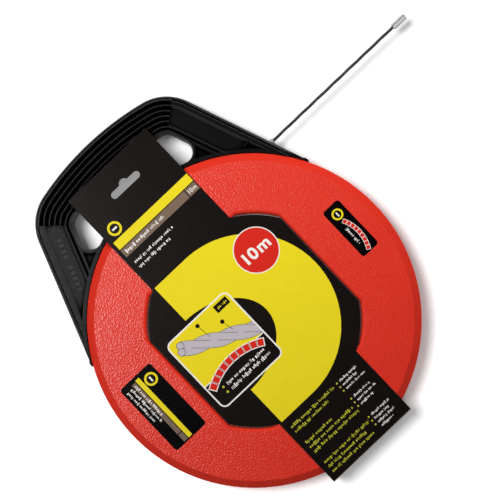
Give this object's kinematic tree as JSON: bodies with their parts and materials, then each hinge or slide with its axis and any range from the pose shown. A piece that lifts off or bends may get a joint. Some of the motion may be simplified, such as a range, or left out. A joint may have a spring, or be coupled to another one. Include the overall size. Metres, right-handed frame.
{
  "type": "fish tape reel",
  "caption": "Flat round reel for a pulling tape: a red drum turns in a black ribbed carry handle, a twisted tape with a metal tip leaves one leg, and a printed card is folded over it.",
  "frame": {"origin": "on the drum's spin axis, in the plane the reel rests on when it lies on its back", "axes": "+Z along the drum's axis towards the printed front face, +Y towards the carry handle, +X the way the tape leaves"},
  "size_m": [0.383, 0.3246, 0.0375],
  "materials": {
    "handle_plastic": "black moulded nylon, satin, fine grain",
    "drum_plastic": "red moulded plastic, leather-grained faces with smooth bevels",
    "screw_steel": "zinc plated",
    "guide_metal": "bright turned tube",
    "shoe_plastic": "natural acetal",
    "tape_plastic": "dark three-strand twisted polyester",
    "tip_metal": "nickel plated, turned",
    "card_board": "black printed, light coating",
    "label_film": "printed film, light gloss"
  },
  "bodies": {
    "handle": {"handle_front_shell": "handle_plastic", "handle_back_shell": "handle_plastic", "handle_screws": "screw_steel", "tape_guide": "guide_metal", "rim_shoe": "shoe_plastic"},
    "drum": {"drum_front_shell": "drum_plastic", "drum_back_shell": "drum_plastic", "drum_screws": "screw_steel", "tape_coil": "tape_plastic", "tape_end_eyelet": "guide_metal", "eyelet_screw": "screw_steel", "drum_label_left": "label_film", "drum_label_right": "label_film"},
    "tape": {"tape_lead": "tape_plastic", "tape_tip": "tip_metal"},
    "card": {"display_card": "card_board"}
  },
  "joints": [
    {"name": "drum_spin", "type": "hinge", "parent": "handle", "child": "drum", "pos_m": [0, 0, 0.0188], "axis": [0, 0, 1], "range_deg": [-24, 80]},
    {"name": "tape_slide", "type": "slide", "parent": "handle", "child": "tape", "axis": [1, 0, 0], "range_m": [-0.13, 0.04]},
    {"name": "card_slide", "type": "slide", "parent": "handle", "child": "card", "axis": [0, -1, 0], "range_m": [0, 0.3]}
  ],
  "couplings": [
    {"joint": "tape_slide", "follows": "drum_spin", "m_per_rad": -0.0925}
  ]
}
